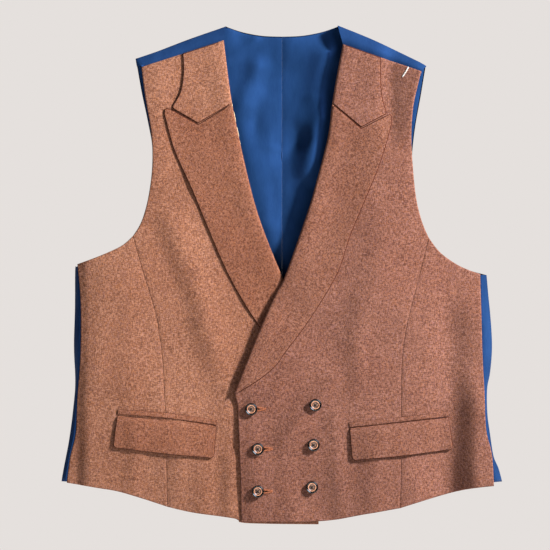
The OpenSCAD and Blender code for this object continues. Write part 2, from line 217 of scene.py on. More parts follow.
# ---------------------------------------------------------------- making meshes
class Maker:
    """Collects vertices in mm and faces with a material number, and makes one piece."""

    def __init__(self):
        self.verts, self.faces, self.kinds = [], [], []

    def add(self, verts, faces, kind=0):
        base = len(self.verts)
        self.verts += [tuple(v) for v in verts]
        self.faces += [tuple(base + i for i in f) for f in faces]
        self.kinds += [kind] * len(faces)

    def grid(self, rows, around=False, ends=False, kind=0):
        """Quads between rows of points; around joins each row's last point to its first."""
        n = len(rows[0])
        verts = [p for row in rows for p in row]
        faces = []
        for i in range(len(rows) - 1):
            for j in range(n if around else n - 1):
                k = (j + 1) % n
                faces.append((i * n + j, i * n + k, (i + 1) * n + k, (i + 1) * n + j))
        if ends:
            faces.append(tuple(range(n))[::-1])
            faces.append(tuple((len(rows) - 1) * n + j for j in range(n)))
        self.add(verts, faces, kind)

    def tube(self, points, radius, sides=8, kind=0, flat=1.0):
        """A round thread or wire along a line; radius may be one number or one per point."""
        p = [Vector(q) for q in points]
        r = radius if hasattr(radius, "__len__") else [radius] * len(p)
        rows, side = [], None
        for i, c in enumerate(p):
            t = (p[min(i + 1, len(p) - 1)] - p[max(i - 1, 0)]).normalized()
            if side is None:
                side = t.orthogonal().normalized()
            side = (side - t * side.dot(t)).normalized()
            up = t.cross(side)
            rows.append([c + (side * math.cos(a) + up * math.sin(a) * flat) * r[i]
                         for a in [2 * math.pi * k / sides for k in range(sides)]])
        self.grid(rows, around=True, ends=True, kind=kind)

    def turn(self, centre, profile, sides=48, kind=0):
        """A turned shape round the line along Y through centre, from (radius, forward) pairs."""
        rows = [[(centre[0] + r * math.cos(a), centre[1] - h, centre[2] + r * math.sin(a))
                 for a in [2 * math.pi * k / sides for k in range(sides)]]
                for r, h in profile]
        self.grid(rows, around=True, kind=kind)

    def piece(self, name, materials, body, replaced):
        mesh = bpy.data.meshes.new(name)
        mesh.from_pydata([(x * MM, y * MM, z * MM) for x, y, z in self.verts], [], self.faces)
        for m in materials:
            mesh.materials.append(m)
        mesh.polygons.foreach_set("material_index", self.kinds)
        mesh.polygons.foreach_set("use_smooth", [True] * len(mesh.polygons))
        mesh.validate()
        mesh.update()
        o = bpy.data.objects.new(name, mesh)
        bpy.context.scene.collection.objects.link(o)
        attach(o, body)
        if replaced:
            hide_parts(*([replaced] if isinstance(replaced, str) else replaced))
        return o


def ring_edges(rings):
    """The edges of closed rings of points that are numbered one ring after another."""
    edges, base = [], 0
    for ring in rings:
        edges += [(base + i, base + (i + 1) % len(ring)) for i in range(len(ring))]
        base += len(ring)
    return edges


# a folded edge, from the flat of the cloth round to its back: (in from the outline, depth)
FOLDED = [(1.7, 0), (1.0, 0.10), (0.5, 0.36), (0.15, 0.85), (0, 1.5), (0, 2.6), (0.4, 3.3),
          (1.4, 3.6)]
# the pressed edge of a doubled piece such as a lapel
DOUBLED = [(1.9, 0), (1.1, 0.12), (0.5, 0.42), (0.1, 0.95), (0, 1.4), (0.2, 1.85), (0.8, 2.2),
           (3.2, 2.3)]
# the raw or turned edge of a thin ply
THIN = [(0.6, 0), (0.15, 0.12), (0, 0.3), (0.15, 0.48), (0.6, 0.55)]


def ply(maker, loop, top, rim, scale=None, cell=5.0, extra=(), holes=(), sign=-1, edge=0):
    """A sheet over an outline: top(x, z) is its outer face's Y, and rim rounds its edge back.

    scale(x, z) gives how much of the rim's inset and depth each edge point takes."""
    if scale is None:
        si = sd = np.ones(len(loop))
    else:
        si, sd = (np.broadcast_to(v, (len(loop),)) for v in scale(loop[:, 0], loop[:, 1]))
    n = outward(loop)
    inner = loop - n * (rim[0][0] * si)[:, None]
    lo, hi = loop.min(0), loop.max(0)
    gx, gz = np.meshgrid(np.arange(lo[0] + cell / 2, hi[0], cell),
                         np.arange(lo[1] + cell / 2, hi[1], cell))
    gx = gx + (np.arange(gx.shape[0]) % 2)[:, None] * cell * 0.5
    fill = np.column_stack([gx.ravel(), gz.ravel()])
    if len(extra):
        extra = np.asarray(extra, float)
        far = np.array([np.min(np.hypot(*(extra - p).T)) > cell * 0.6 for p in fill])
        fill = np.vstack([fill[far], extra])
    ok = inside(inner, fill) & (distance(inner, fill[:, 0], fill[:, 1], True) > cell * 0.35)
    for h in holes:
        ok &= ~inside(h, fill) & (distance(h, fill[:, 0], fill[:, 1], True) > 0.5)
    pts = [inner] + [np.asarray(h) for h in holes] + [fill[ok]]
    verts, _, tris, _, _, _ = delaunay_2d_cdt([Vector(p) for p in np.vstack(pts)],
                                              ring_edges(pts[:-1]), [], 1, 1e-5)
    v = np.array([tuple(p) for p in verts])
    t = np.array(tris)
    mid = v[t].mean(1)
    keep = inside(inner, mid)
    for h in holes:
        keep &= ~inside(np.asarray(h), mid)
    t = t[keep]
    y = top(v[:, 0], v[:, 1])
    if sign > 0:
        t = t[:, ::-1]
    base = len(maker.verts)
    # CDT triangles are counter-clockwise in (x, z), which looks along -Y
    maker.add(np.column_stack([v[:, 0], y, v[:, 1]]), [tuple(f) for f in t])
    yi = top(inner[:, 0], inner[:, 1])
    rows = []
    for inset, depth in rim[1:]:
        q = loop - n * (inset * si)[:, None]
        rows.append(np.column_stack([q[:, 0], yi - sign * depth * sd, q[:, 1]]))
    m = len(loop)
    first = len(maker.verts)
    faces = []
    for k in range(len(rows)):
        for i in range(m):
            j = (i + 1) % m
            a, b = ((base + i, base + j) if k == 0
                    else (first + (k - 1) * m + i, first + (k - 1) * m + j))
            c, d = first + k * m + j, first + k * m + i
            faces.append((a, d, c, b) if sign < 0 else (a, b, c, d))
    maker.verts += [tuple(p) for row in rows for p in row]
    maker.faces += faces
    maker.kinds += [0] * m + list(np.tile(np.broadcast_to(edge, (m,)), len(rows) - 1))


# ---------------------------------------------------------------- how the cloth lies, in mm
def fold(x, z, x1, z1, x2, z2, width, height):
    """A soft ridge along a line."""
    dx, dz = x2 - x1, z2 - z1
    t = np.clip(((x - x1) * dx + (z - z1) * dz) / max(dx * dx + dz * dz, 1e-9), 0, 1)
    d = np.hypot(x - x1 - t * dx, z - z1 - t * dz)
    return height * np.exp(-(d / width) ** 2)


def ripple(x, z, seed, size, height):
    """Slow unevenness of hand-pressed cloth."""
    rng = random.Random(seed)
    out = 0
    for _ in range(9):
        a = rng.uniform(0, math.pi)
        k = 2 * math.pi / (size * rng.uniform(0.7, 1.6))
        out = out + np.sin((x * math.cos(a) + z * math.sin(a)) * k + rng.uniform(0, 6.3))
    return out * height / 3.0


# ridges of each front: from, to, half width, height
FOLDS = {
    "r": [(-132, -240, -78, -380, 20, 3.6), (-190, -300, -178, -470, 22, 2.4),
          (-150, -250, -112, -350, 13, -1.4), (-98, -360, -66, -440, 14, 2.0),
          (-176, -500, -180, -560, 11, 2.0), (-122, -520, -128, -585, 13, 1.7),
          (-214, -290, -220, -420, 13, 1.4), (-148, -60, -150, -190, 14, 1.2),
          (-92, -505, -96, -580, 14, 1.6), (-150, -430, -146, -462, 12, 1.2)],
    "l": [(62, -424, 2, -500, 9, 2.6), (26, -424, -22, -490, 9, -1.0),
          (92, -330, 90, -420, 13, 2.0), (118, -260, 104, -340, 16, 1.4),
          (62, -470, 70, -580, 10, 2.0), (-2, -436, -14, -450, 7, 1.5),
          (108, -520, 112, -585, 13, 1.6), (184, -330, 176, -440, 20, 1.8),
          (6, -526, 12, -592, 12, 1.6), (-57, -440, -55, -500, 5, 1.6),
          (154, -515, 162, -570, 12, 1.5), (196, -470, 199, -570, 15, -3.0),
          (128, -46, 130, -140, 9, -1.6), (150, -400, 152, -450, 12, 1.0)],
}


def lie(side, x, z):
    """How far a front stands out from its flat pattern, toward the viewer."""
    x, z = np.asarray(x, float), np.asarray(z, float)
    h = ripple(x, z, 5 if side == "r" else 8, 88, 0.8)
    for f in FOLDS[side]:
        h = h + fold(x, z, *f)
    if side == "r":
        # fuller toward the side, then turned back at the side seam and at the hem's corner
        h = h + 4.0 * step_up((-x - 60) / 150) * step_up((-z - 210) / 80)
        h = h - 5.5 * step_up((-x - 231) / 16) ** 1.5
        h = h - 5.0 * step_up((-500 - z) / 100) * step_up((-x - 80) / 60)
        # flat and thin where the other front lies over it
        h = h * (1 - 0.75 * step_up((x - roll_x("l", z) + 22) / 20) * (z < -300))
        # it rises a little again beside the other front's edge
        h = h + 1.9 * step_up((x + 78) / 16) * step_up((-505 - z) / 18)
        h = h + 1.2 * np.exp(-((x + 64) / 14.0) ** 2) * step_up((-440 - z) / 20)
    else:
        # it stands out along the side, at the armhole, and between buttons and pocket
        low = step_up((-z - 400) / 60)
        rise = 0.52 + 0.48 * low
        h = h + 13.6 * rise * step_up((-z - 300) / 60) * step_up(
            (x - 196 - 8 * low) / (34 - 2 * low))
        h = h + 12.0 * np.clip((x - 130) / 36, 0, 1) ** 1.3 * step_up((-36 - z) / 16) * step_up(
            (165 + z) / 60)
        h = h + 5.0 * step_up((x - 40) / 90) * (1 - step_up((x - 138) / 62))
        # its edge settles on the front beneath it
        h = h - 2.0 * (1 - step_up((x + 50) / 16)) * step_up((-z - 430) / 20)
    # both hems curl back
    return h - 8.0 * step_up((-470 - z) / 140)


def roll_x(side, z):
    """X of a front's V edge at a height."""
    line = V_EDGE[side]
    return np.interp(z, line[:, 1][::-1], line[:, 0][::-1])


# ---------------------------------------------------------------- outlines of the plies
def without_notch(loop, side):
    """The outline without the points of the notch that the pocket slit cuts in it."""
    lo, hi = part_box(f"pocket_jet_{side}")
    lo, hi = lo / MM, hi / MM
    return loop[~((loop[:, 0] > lo.x - 2) & (loop[:, 0] < hi.x + 2)
                  & (loop[:, 1] > lo.z - 1.5) & (loop[:, 1] < hi.z + 4.5))]


def small(found):
    """The buttonholes among a node's outlines, which are under 200 mm2."""
    return [h for h in found[1:] if abs(area_of(h)) < 200]


def trimmed(node, side):
    """A front's outline without its pocket notch, and its buttonholes."""
    found = loops(node)
    return without_notch(found[0], side), small(found)


CENTRE, SIDE, LAPEL, COLLAR, HOLES, V_EDGE, DART = {}, {}, {}, {}, {}, {}, {}
for s in ("r", "l"):
    CENTRE[s], HOLES[s] = trimmed(f"front_centre_{s}", s)
    SIDE[s], _ = trimmed(f"front_side_{s}", s)
    LAPEL[s], COLLAR[s] = loops(f"lapel_{s}")[0], loops(f"collar_{s}")[0]
    DART[s] = shared(CENTRE[s], SIDE[s])
    edge = np.vstack([shared(LAPEL[s], CENTRE[s]), shared(COLLAR[s], CENTRE[s])])
    V_EDGE[s] = edge[np.argsort(-edge[:, 1])]


def at_v(side, x, z):
    """1 on the V edge, where the lapel and collar roll over, to 0 a few mm off."""
    return 1 - step_up((distance(V_EDGE[side], x, z) - 1) / 5)


def at_dart(side, x, z):
    return 1 - step_up((distance(DART[side], x, z) - 0.8) / 2.5)


# how much of a front's rounded edge the dart seam takes in, as a share of its inset
SEAM_PINCH = 0.62


def shell_rim(side):
    def scale(x, z):
        d = at_dart(side, x, z)
        return 1 - SEAM_PINCH * d, 1 - 0.1 * d
    return scale


def pulled_in(loop, amount):
    return loop - outward(loop) * amount[:, None]


# ---------------------------------------------------------------- finishes
def colour(code):
    """sRGB hex to the linear numbers that the shader works in."""
    parts = [int(code[i:i + 2], 16) / 255 for i in (0, 2, 4)]
    return tuple(v / 12.92 if v <= 0.04045 else ((v + 0.055) / 1.055) ** 2.4
                 for v in parts) + (1.0,)


def add(tree, kind, settings=None, inputs=None):
    """Adds a node, sets it up, and sets or links its inputs."""
    n = tree.nodes.new("ShaderNode" + kind)
    for key, value in (settings or {}).items():
        setattr(n, key, value)
    for key, value in (inputs or {}).items():
        if isinstance(value, bpy.types.NodeSocket):
            tree.links.new(value, n.inputs[key])
        else:
            n.inputs[key].default_value = value
    return n


def blank(name):
    m = bpy.data.materials.new(name)
    m.use_nodes = True
    m.node_tree.nodes.clear()
    return m, m.node_tree


def close(m, tree, **inputs):
    shader = add(tree, "BsdfPrincipled", None, {k.replace("_", " "): v for k, v in inputs.items()})
    add(tree, "OutputMaterial", None, {"Surface": shader.outputs[0]})
    return m


def ramp(tree, source, stops):
    n = add(tree, "ValToRGB", None, {0: source})
    e = n.color_ramp.elements
    while len(e) < len(stops):
        e.new(0.5)
    for i, (at, code) in enumerate(stops):
        e[i].position = at
        e[i].color = colour(code)
    return n.outputs[0]


def streaks(tree, place, turn, wide, tall, seed, detail=2.0):
    """Noise drawn out along a direction: each fleck is wide by tall mm."""
    m = add(tree, "Mapping", {"vector_type": "TEXTURE"},
            {"Vector": place, "Rotation": (0, turn, 0), "Location": (seed * 0.37, seed, 0),
             "Scale": (wide * MM, wide * MM, tall * MM)})
    return add(tree, "TexNoise", None, {"Vector": m.outputs[0], "Scale": 1.0,
                                        "Detail": detail, "Roughness": 0.6}).outputs[0]


def maths(tree, operation, a, b=0.0, c=0.0):
    return add(tree, "Math", {"operation": operation}, {0: a, 1: b, 2: c}).outputs[0]


def blended(tree, mode, share, a, b):
    return add(tree, "Mix", {"data_type": "RGBA", "blend_type": mode},
               {0: share, 6: a, 7: b}).outputs[2]


def suiting(name, turn=0.0, tint="ffffff"):
    """Wool and linen suiting, plain woven from copper, mauve-beige and a few dark yarns.

    Matt and uneven: slubs run along both yarns. The real yarns are 0.5 mm apart, and are
    drawn coarser here, 0.8 mm wide, so that they show at arm's length."""
    m, t = blank(name)
    place = add(t, "TexCoord").outputs["Object"]
    warp = streaks(t, place, turn, 0.8, 3.2, 3, 0.0)
    weft = streaks(t, place, turn, 3.2, 0.8, 7, 0.0)
    grit = streaks(t, place, turn, 0.8, 0.8, 11, 0.0)
    hue = streaks(t, place, turn, 1.0, 1.6, 23, 0.0)
    slow = streaks(t, place, turn, 60, 70, 17, 1.0)
    both = maths(t, "MULTIPLY_ADD", weft, 0.37, maths(t, "MULTIPLY", warp, 0.38))
    both = maths(t, "MULTIPLY_ADD", grit, 0.25, both)
    grid = add(t, "Mapping", {"vector_type": "TEXTURE"}, {
        "Vector": place, "Rotation": (0, turn, 0),
        "Scale": (2.6 * MM / math.tau,) * 3})
    axes = add(t, "SeparateXYZ", None, {0: grid.outputs[0]})
    rows = maths(t, "MULTIPLY", maths(t, "SINE", axes.outputs[0]),
                 maths(t, "SINE", axes.outputs[2]))
    both = maths(t, "MULTIPLY_ADD", rows, 0.025, both)
    body = ramp(t, both, [(0.36, "68493c"), (0.44, "7c5b4b"), (0.50, "8d6958"),
                          (0.56, "9a7563"), (0.65, "ac8877")])
    yarns = ramp(t, hue, [(0.36, "ead6de"), (0.50, "fff2e8"), (0.62, "ffdcbc")])
    body = blended(t, "MULTIPLY", 0.8, body, yarns)
    tone = ramp(t, slow, [(0.35, "f4f0ee"), (0.65, "ffffff")])
    body = blended(t, "MULTIPLY", 1.0, body, tone)
    # tint darkens this copy of the cloth; for the left front's copies and for the edge copy it is
    # painted shade
    body = blended(t, "MULTIPLY", 1.0, body, colour(tint))
    bump = add(t, "Bump", None, {"Strength": 0.4, "Distance": 0.25 * MM, "Height": both})
    return close(m, t, Base_Color=body, Roughness=0.92, Specular_IOR_Level=0.08,
                 Sheen_Weight=0.12, Sheen_Roughness=0.55, Sheen_Tint=colour("e8c8b6"),
                 Normal=bump.outputs[0])


def satin(name, base, lift, rough, turn=0.0):
    """Viscose satin, woven with long floats: smooth, with a broad soft blue gloss.

    The floats are 0.1 mm; drawn as 0.9 by 9 mm streaks that only just show."""
    m, t = blank(name)
    place = add(t, "TexCoord").outputs["Object"]
    floats = streaks(t, place, turn, 0.9, 9.0, 5)
    slow = streaks(t, place, turn, 30, 70, 13)
    body = ramp(t, slow, [(0.35, base), (0.65, lift)])
    fine = ramp(t, floats, [(0.38, "dfe4ee"), (0.62, "ffffff")])
    body = blended(t, "MULTIPLY", 0.6, body, fine)
    bump = add(t, "Bump", None, {"Strength": 0.12, "Distance": 0.1 * MM, "Height": floats})
    gloss = add(t, "MapRange", None, {0: floats, 3: rough - 0.03, 4: rough + 0.05})
    return close(m, t, Base_Color=body, Roughness=gloss.outputs[0], Specular_IOR_Level=0.28,
                 Specular_Tint=colour("5a92f0"), Normal=bump.outputs[0])


def plain_weave(name, dark, light, pitch, rough=0.9):
    """Undyed cotton or linen in a plain weave, matt, its threads drawn pitch mm apart."""
    m, t = blank(name)
    place = add(t, "TexCoord").outputs["Object"]
    a = streaks(t, place, 0.0, pitch, pitch * 5, 2)
    b = streaks(t, place, 0.0, pitch * 5, pitch, 4)
    both = maths(t, "MULTIPLY_ADD", a, 0.5, maths(t, "MULTIPLY", b, 0.5))
    body = ramp(t, both, [(0.38, dark), (0.62, light)])
    bump = add(t, "Bump", None, {"Strength": 0.5, "Distance": 0.2 * MM, "Height": both})
    return close(m, t, Base_Color=body, Roughness=rough, Specular_IOR_Level=0.2,
                 Normal=bump.outputs[0])


def horn(name, dark, light, rough, coat=0.0):
    """Polished horn: near black, with faint fibres and a wet gloss."""
    m, t = blank(name)
    place = add(t, "TexCoord").outputs["Object"]
    fibres = streaks(t, place, 0.5, 0.7, 5.0, 6)
    body = ramp(t, fibres, [(0.40, dark), (0.66, light)])
    gloss = add(t, "MapRange", None, {0: fibres, 3: rough, 4: rough + 0.05})
    bump = add(t, "Bump", None, {"Strength": 0.12, "Distance": 0.05 * MM, "Height": fibres})
    return close(m, t, Base_Color=body, Roughness=gloss.outputs[0], IOR=1.56,
                 Coat_Weight=coat, Coat_Roughness=0.05, Normal=bump.outputs[0])


def yarn(name, dark, light, pitch, rough=0.75):
    """Sewing thread: two plies twisted together, so bands run slantwise across it."""
    m, t = blank(name)
    place = add(t, "TexCoord").outputs["Object"]
    twist = streaks(t, place, 0.8, pitch, pitch * 4, 8)
    body = ramp(t, twist, [(0.40, dark), (0.60, light)])
    bump = add(t, "Bump", None, {"Strength": 0.6, "Distance": 0.1 * MM, "Height": twist})
    return close(m, t, Base_Color=body, Roughness=rough, Specular_IOR_Level=0.3,
                 Sheen_Weight=0.2, Normal=bump.outputs[0])


def nickel(name):
    """Nickel-plated steel wire: bright, with fine draw marks and dull spots of wear."""
    m, t = blank(name)
    place = add(t, "TexCoord").outputs["Object"]
    drawn = streaks(t, place, 0.0, 0.3, 6.0, 9)
    worn = streaks(t, place, 0.0, 3.0, 3.0, 12)
    body = ramp(t, worn, [(0.38, "b9b0a0"), (0.60, "dcd7cc")])
    gloss = add(t, "MapRange", None, {0: drawn, 3: 0.2, 4: 0.42})
    bump = add(t, "Bump", None, {"Strength": 0.15, "Distance": 0.03 * MM, "Height": drawn})
    return close(m, t, Base_Color=body, Metallic=1.0, Roughness=gloss.outputs[0],
                 Normal=bump.outputs[0])


GRAIN = {"r": -0.42, "l": 0.42}  # the lapels' slant, in radians from upright
# The left front's copies of the suiting (front, lapel, flap) are tinted darker and cooler than the
# right's: painted shade. The lapels and flaps of both sides are also tinted a little darker than
# their fronts.
SUITING = {"r": suiting("suiting_right_front"), "l": suiting("suiting_left_front", 0, "e2e0ee")}
LAPEL_SUITING = {s: suiting(f"suiting_lapel_{s}", GRAIN[s], tint)
                 for s, tint in (("r", "e8dfdc"), ("l", "dedae1"))}
FLAP_SUITING = {s: suiting(f"suiting_flap_{s}", 0.0, tint)
                for s, tint in (("r", "ece3e0"), ("l", "dad6e0"))}
# The much darker copy of the suiting that lines the outer rims of lapels, collars, welts and flaps
# is painted shade: it stands in for the dark line where these edges stand off the cloth beneath.
EDGE_SHADE = suiting("suiting_painted_edge_shade", 0.0, "866860")
BACK_SATIN = satin("satin_back", "1a335b", "203d6a", 0.48)
LINING = satin("satin_lining", "18335a", "203f6e", 0.48)
CANVAS = plain_weave("hair_canvas", "a8997c", "d4c7ab", 1.0)
POCKETING = plain_weave("cotton_pocketing", "b5afa1", "dad5c8", 0.8)
BASTING = plain_weave("basting_cotton", "d2d2d0", "fbfbfa", 0.4)
HORN = horn("polished_horn", "030304", "0a0809", 0.08, 0.3)
HORN_BAND = horn("copper_inlaid_band", "b87a5c", "dba888", 0.30)
DISH = horn("matt_horn_dish", "7a5a4a", "9a7662", 0.45)
BUTTON_THREAD = yarn("waxed_button_thread", "0d0b0b", "262020", 0.5)
STITCH = yarn("copper_silk_twist", "84462a", "b87350", 0.6)
NICKEL = nickel("nickel_plated_wire")


# ---------------------------------------------------------------- fronts
SLOPE = math.radians(6.2)


def pocket_at(side):
    """Top middle of a pocket's welt, and the direction along it."""
    lo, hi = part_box(f"pocket_welt_{side}")
    m = (lo + hi) / 2 / MM
    a = -SLOPE if side == "r" else SLOPE
    down = 2.5
    return m.x + down * math.sin(-a), m.z + down * math.cos(a), a


def pocket_uv(side, x, z):
    """Along the welt, and up from its top line, in mm."""
    px, pz, a = pocket_at(side)
    dx, dz = x - px, z - pz
    return dx * math.cos(a) + dz * math.sin(a), -dx * math.sin(a) + dz * math.cos(a)


def pocket_xz(side, u, v):
    px, pz, a = pocket_at(side)
    return px + u * math.cos(a) - v * math.sin(a), pz + u * math.sin(a) + v * math.cos(a)


# the pocket mouth: its two edges below the welt's top line, half its length and its depth
MOUTH_TOP, MOUTH_LOW, MOUTH_HALF, MOUTH_DEPTH = -6.8, -9.2, 56, 2.4


def mouth(side, x, z):
    """Depth of the pocket mouth, which the flap covers."""
    u, v = pocket_uv(side, x, z)
    return MOUTH_DEPTH * (np.abs(u) < MOUTH_HALF) * ((v < MOUTH_TOP) & (v > MOUTH_LOW))


def mouth_points(side):
    u = np.arange(-58, 58.1, 4.0)
    return np.vstack([np.column_stack(pocket_xz(side, u, np.full(u.shape, v)))
                      for v in (-6.4, -6.9, -9.1, -9.6)])


def shell_top(side):
    return lambda x, z: FACE[side] - lie(side, x, z) + mouth(side, x, z)


def behind(side, depth):
    return lambda x, z: FACE[side] + depth - lie(side, x, z)


def front_shell(side):
    for part, node_loop, holes in (("panel", CENTRE[side], HOLES[side]),
                                   ("side_panel", SIDE[side], [])):
        loop = smooth(node_loop)
        v = at_v(side, loop[:, 0], loop[:, 1])
        loop = pulled_in(loop, 1.6 * v)
        maker = Maker()
        ply(maker, loop, shell_top(side), FOLDED, shell_rim(side), 5.0,
            mouth_points(side), [narrowed(h) for h in holes])
        node = f"front_{'centre' if part == 'panel' else 'side'}_{side}"
        o = maker.piece(f"{part}_{side}", [SUITING[side]], TRUNK, node)


def lapel_top(side):
    """The lapel lies on the front, stands a little off it, and swells to its rolled edge."""
    def top(x, z):
        d = distance(V_EDGE[side], x, z)
        stand = 1.9 + 1.2 * np.exp(-((d - 9) / 11.0) ** 2)
        lift = ripple(x, z, 21 if side == "r" else 34, 62, 0.42)
        if side == "r":
            out = step_up((roll_x("l", z) - x - 4) / 34) + (z > -250)
            out = np.clip(out, 0, 1)
            lift = (lift + 0.3 * step_up((d - 22) / 40)
                    + fold(x, z, -64, -175, -98, -150, 13, 0.9)
                    + fold(x, z, -38, -232, -66, -262, 13, 0.9)
                    + fold(x, z, -84, -226, -52, -206, 12, -0.5)) * out
            return FACE[side] - lie(side, x, z) * out - stand + 0.5 * (1 - out) - lift
        lift = (lift + fold(x, z, 40, -214, 84, -160, 16, 0.7)
                + fold(x, z, 26, -330, 60, -300, 14, 0.8))
        return FACE[side] - lie(side, x, z) - stand - lift
    return top


def lapel_rim(side):
    def scale(x, z):
        v = at_v(side, x, z)
        return 1 + 0.7 * v, 1 + 1.6 * v
    return scale


def lapels(side):
    for part, node_loop, mat, slot in (("lapel_cloth", LAPEL[side], LAPEL_SUITING[side],
                                        "cloth_lapel"),
                                       ("collar_cloth", COLLAR[side], SUITING[side], "cloth")):
        maker = Maker()
        loop = smooth(node_loop, 3.5)
        # the rims away from the V edge take the painted edge shade (material 1); the rolled V edge
        # stays plain cloth
        ply(maker, loop, lapel_top(side), DOUBLED, lapel_rim(side), 4.5,
            edge=(at_v(side, *loop.T) < 0.5).astype(int))
        o = maker.piece(f"{part}_{side}", [mat, EDGE_SHADE], TRUNK,
                        f"{part.split('_')[0]}_{side}")


def inner_plies(side):
    """Canvas, facing and lining, which follow the front's cloth behind it."""
    for node, name, depth, mat, slot, thick in (
            (f"canvas_{side}", f"canvas_ply_{side}", 1.1, CANVAS, "canvas", 0.7),
            (f"facing_{side}", f"facing_cloth_{side}", 3.2, SUITING[side], "cloth", 0.5),
            (f"front_lining_{side}", f"front_lining_ply_{side}", 3.2, LINING, "lining_satin",
             0.5)):
        found = loops(node, 1)
        loop = found[0]
        outer = smooth(without_notch(loop, side), 6.0)
        edge = CENTRE[side] if "canvas" in node else np.vstack([CENTRE[side], SIDE[side]])
        away = distance(edge, outer[:, 0], outer[:, 1], True)
        inset = np.where(away < 1.5, 2.2, 0.1)
        if name == "canvas_ply_r":
            # it has slipped out past the lapel's roll near the chest
            z = outer[:, 1]
            out = at_v(side, outer[:, 0], z) * (z < -92) * (z > -143)
            inset = np.where(out > 0, 0.2 - 1.1 * np.sin(z * 0.9) ** 2, inset)
        outer = pulled_in(outer, inset)
        maker = Maker()
        ply(maker, outer, behind(side, depth + thick), THIN, None, 8.0, (), small(found), 1)
        o = maker.piece(name, [mat], TRUNK, node)


# ---------------------------------------------------------------- pockets
HINGE_V = -6.6  # the flap's hinge line from the welt's top line, mm
FLAP_DROP = 39.5  # from there to the flap's lower edge, mm


def strip(side, u0, u1, v0, v1, bow=0.0, step=3.0):
    """A slanting strip's outline along a pocket, with its upper edge bowed up."""
    u = np.linspace(u0, u1, int((u1 - u0) / step) + 1)
    up = v1 + bow * (1 - (2 * (u - (u0 + u1) / 2) / (u1 - u0)) ** 2)
    low = v0 + 0.75 * bow * (1 - (2 * (u - (u0 + u1) / 2) / (u1 - u0)) ** 2)
    ends = np.linspace(v0, v1, 3)[1:-1]
    pts = ([(a, b) for a, b in zip(u, low)] + [(u1, e) for e in ends]
           + [(a, b) for a, b in zip(u[::-1], up[::-1])] + [(u0, e) for e in ends[::-1]])
    x, z = pocket_xz(side, *np.array(pts).T)
    return np.column_stack([x, z])


def pocket(side):
    bow = 2.6 if side == "r" else 0.0
    # the welt: a doubled strip sewn to the front under its upper edge
    edge = [(0.9, 0), (0.35, 0.16), (0.05, 0.5), (0, 0.9), (0.1, 1.3)]
    maker = Maker()
    # its rim takes the painted edge shade
    ply(maker, strip(side, -60, 60, -5.6, 0.4, bow), behind(side, -1.35), edge, None, 2.4,
        edge=1)
    o = maker.piece(f"welt_cloth_{side}", [FLAP_SUITING[side], EDGE_SHADE], TRUNK,
                    f"pocket_welt_{side}")
    # the lower lip of the mouth
    maker = Maker()
    ply(maker, strip(side, -55.5, 55.5, -12.4, -9.4), behind(side, -0.55), edge[:3]
        + [(0, 0.8), (0, 1.6)], None, 2.2)
    o = maker.piece(f"jet_cloth_{side}", [FLAP_SUITING[side]], TRUNK, f"pocket_jet_{side}")
    # two leaves of pocketing behind the canvas
    maker = Maker()
    bag = strip(side, -60, 60, -82, -2, 0, 10.0)
    for depth, sign in ((1.95, -1), (2.95, 1)):
        ply(maker, bag, behind(side, depth), THIN[:3], None, 9.0, (), (), sign)
    o = maker.piece(f"pocket_bag_ply_{side}", [POCKETING], TRUNK, f"pocket_bag_{side}")


def flap_loop(grow=0.0):
    """The flap's outline from its hinge line, its lower corners rounded."""
    w, drop, r = 60 + grow, FLAP_DROP + grow, 5.0
    pts = [(-w + 0.4, 0.6), (-w - 0.4, -8), (-w - 1, -drop + r)]
    pts += [(-w - 1 + r * (1 + math.cos(a)), -drop + r * (1 + math.sin(a)))
            for a in np.radians(np.arange(195, 270, 15))]
    pts += [(x, -drop - 0.5 * math.cos(x / 20)) for x in np.linspace(-w - 1 + r, w + 1 - r, 30)]
    pts += [(w + 1 - r * (1 - math.cos(a)), -drop + r * (1 + math.sin(a)))
            for a in np.radians(np.arange(285, 350, 15))]
    pts += [(w + 1, -drop + r), (w + 0.4, -8), (w - 0.4, 0.6)]
    pts += [(x, 0.6) for x in np.linspace(w - 4, -w + 4, 30)]
    return np.array(pts)


def flap(side):
    """The flap hangs from under the welt; its face cloth wraps a satin lining."""
    bow = 2.2 if side == "r" else 0.0

    def place(loop):
        rise = bow * (1 - np.clip(np.abs(loop[:, 0]) / 60, 0, 1) ** 2) * step_up(
            (loop[:, 1] + 30) / 30)
        x, z = pocket_xz(side, loop[:, 0], loop[:, 1] + HINGE_V + rise)
        return np.column_stack([x, z])

    def standing(extra):
        def top(x, z):
            u, v = pocket_uv(side, x, z)
            drop = np.clip((HINGE_V - v) / FLAP_DROP, 0, 1)
            lift = (0.6 * drop ** 2 + 0.35 * np.sin(u / 17 + 1.3) * drop
                    + 0.5 * drop * np.exp(-((np.abs(u) - 61) / 9) ** 2))
            low = step_up((-v - 5) / 6)
            return (FACE[side] - 1.0 - 0.9 * low - lift
                    - lie(side, x, z) * (0.35 + 0.65 * low) + extra)
        return top

    loop = smooth(place(flap_loop()), 3.0, 0.6)
    maker = Maker()
    # its rim takes the painted edge shade
    ply(maker, loop, standing(-0.75), [(1.5, 0), (0.8, 0.10), (0.3, 0.34), (0.03, 0.75),
                                       (0.1, 1.15), (0.7, 1.4), (2.0, 1.45)], None, 4.0,
        edge=1)
    o = maker.piece(f"flap_cloth_{side}", [FLAP_SUITING[side], EDGE_SHADE], f"flap_{side}",
                    f"pocket_flap_{side}")
    maker = Maker()
    ply(maker, smooth(place(flap_loop(-1.3)), 4.0, 0.6), standing(0.75), THIN[:4], None, 5.0,
        (), (), 1)
    o = maker.piece(f"flap_lining_ply_{side}", [LINING], f"flap_{side}", f"flap_lining_{side}")


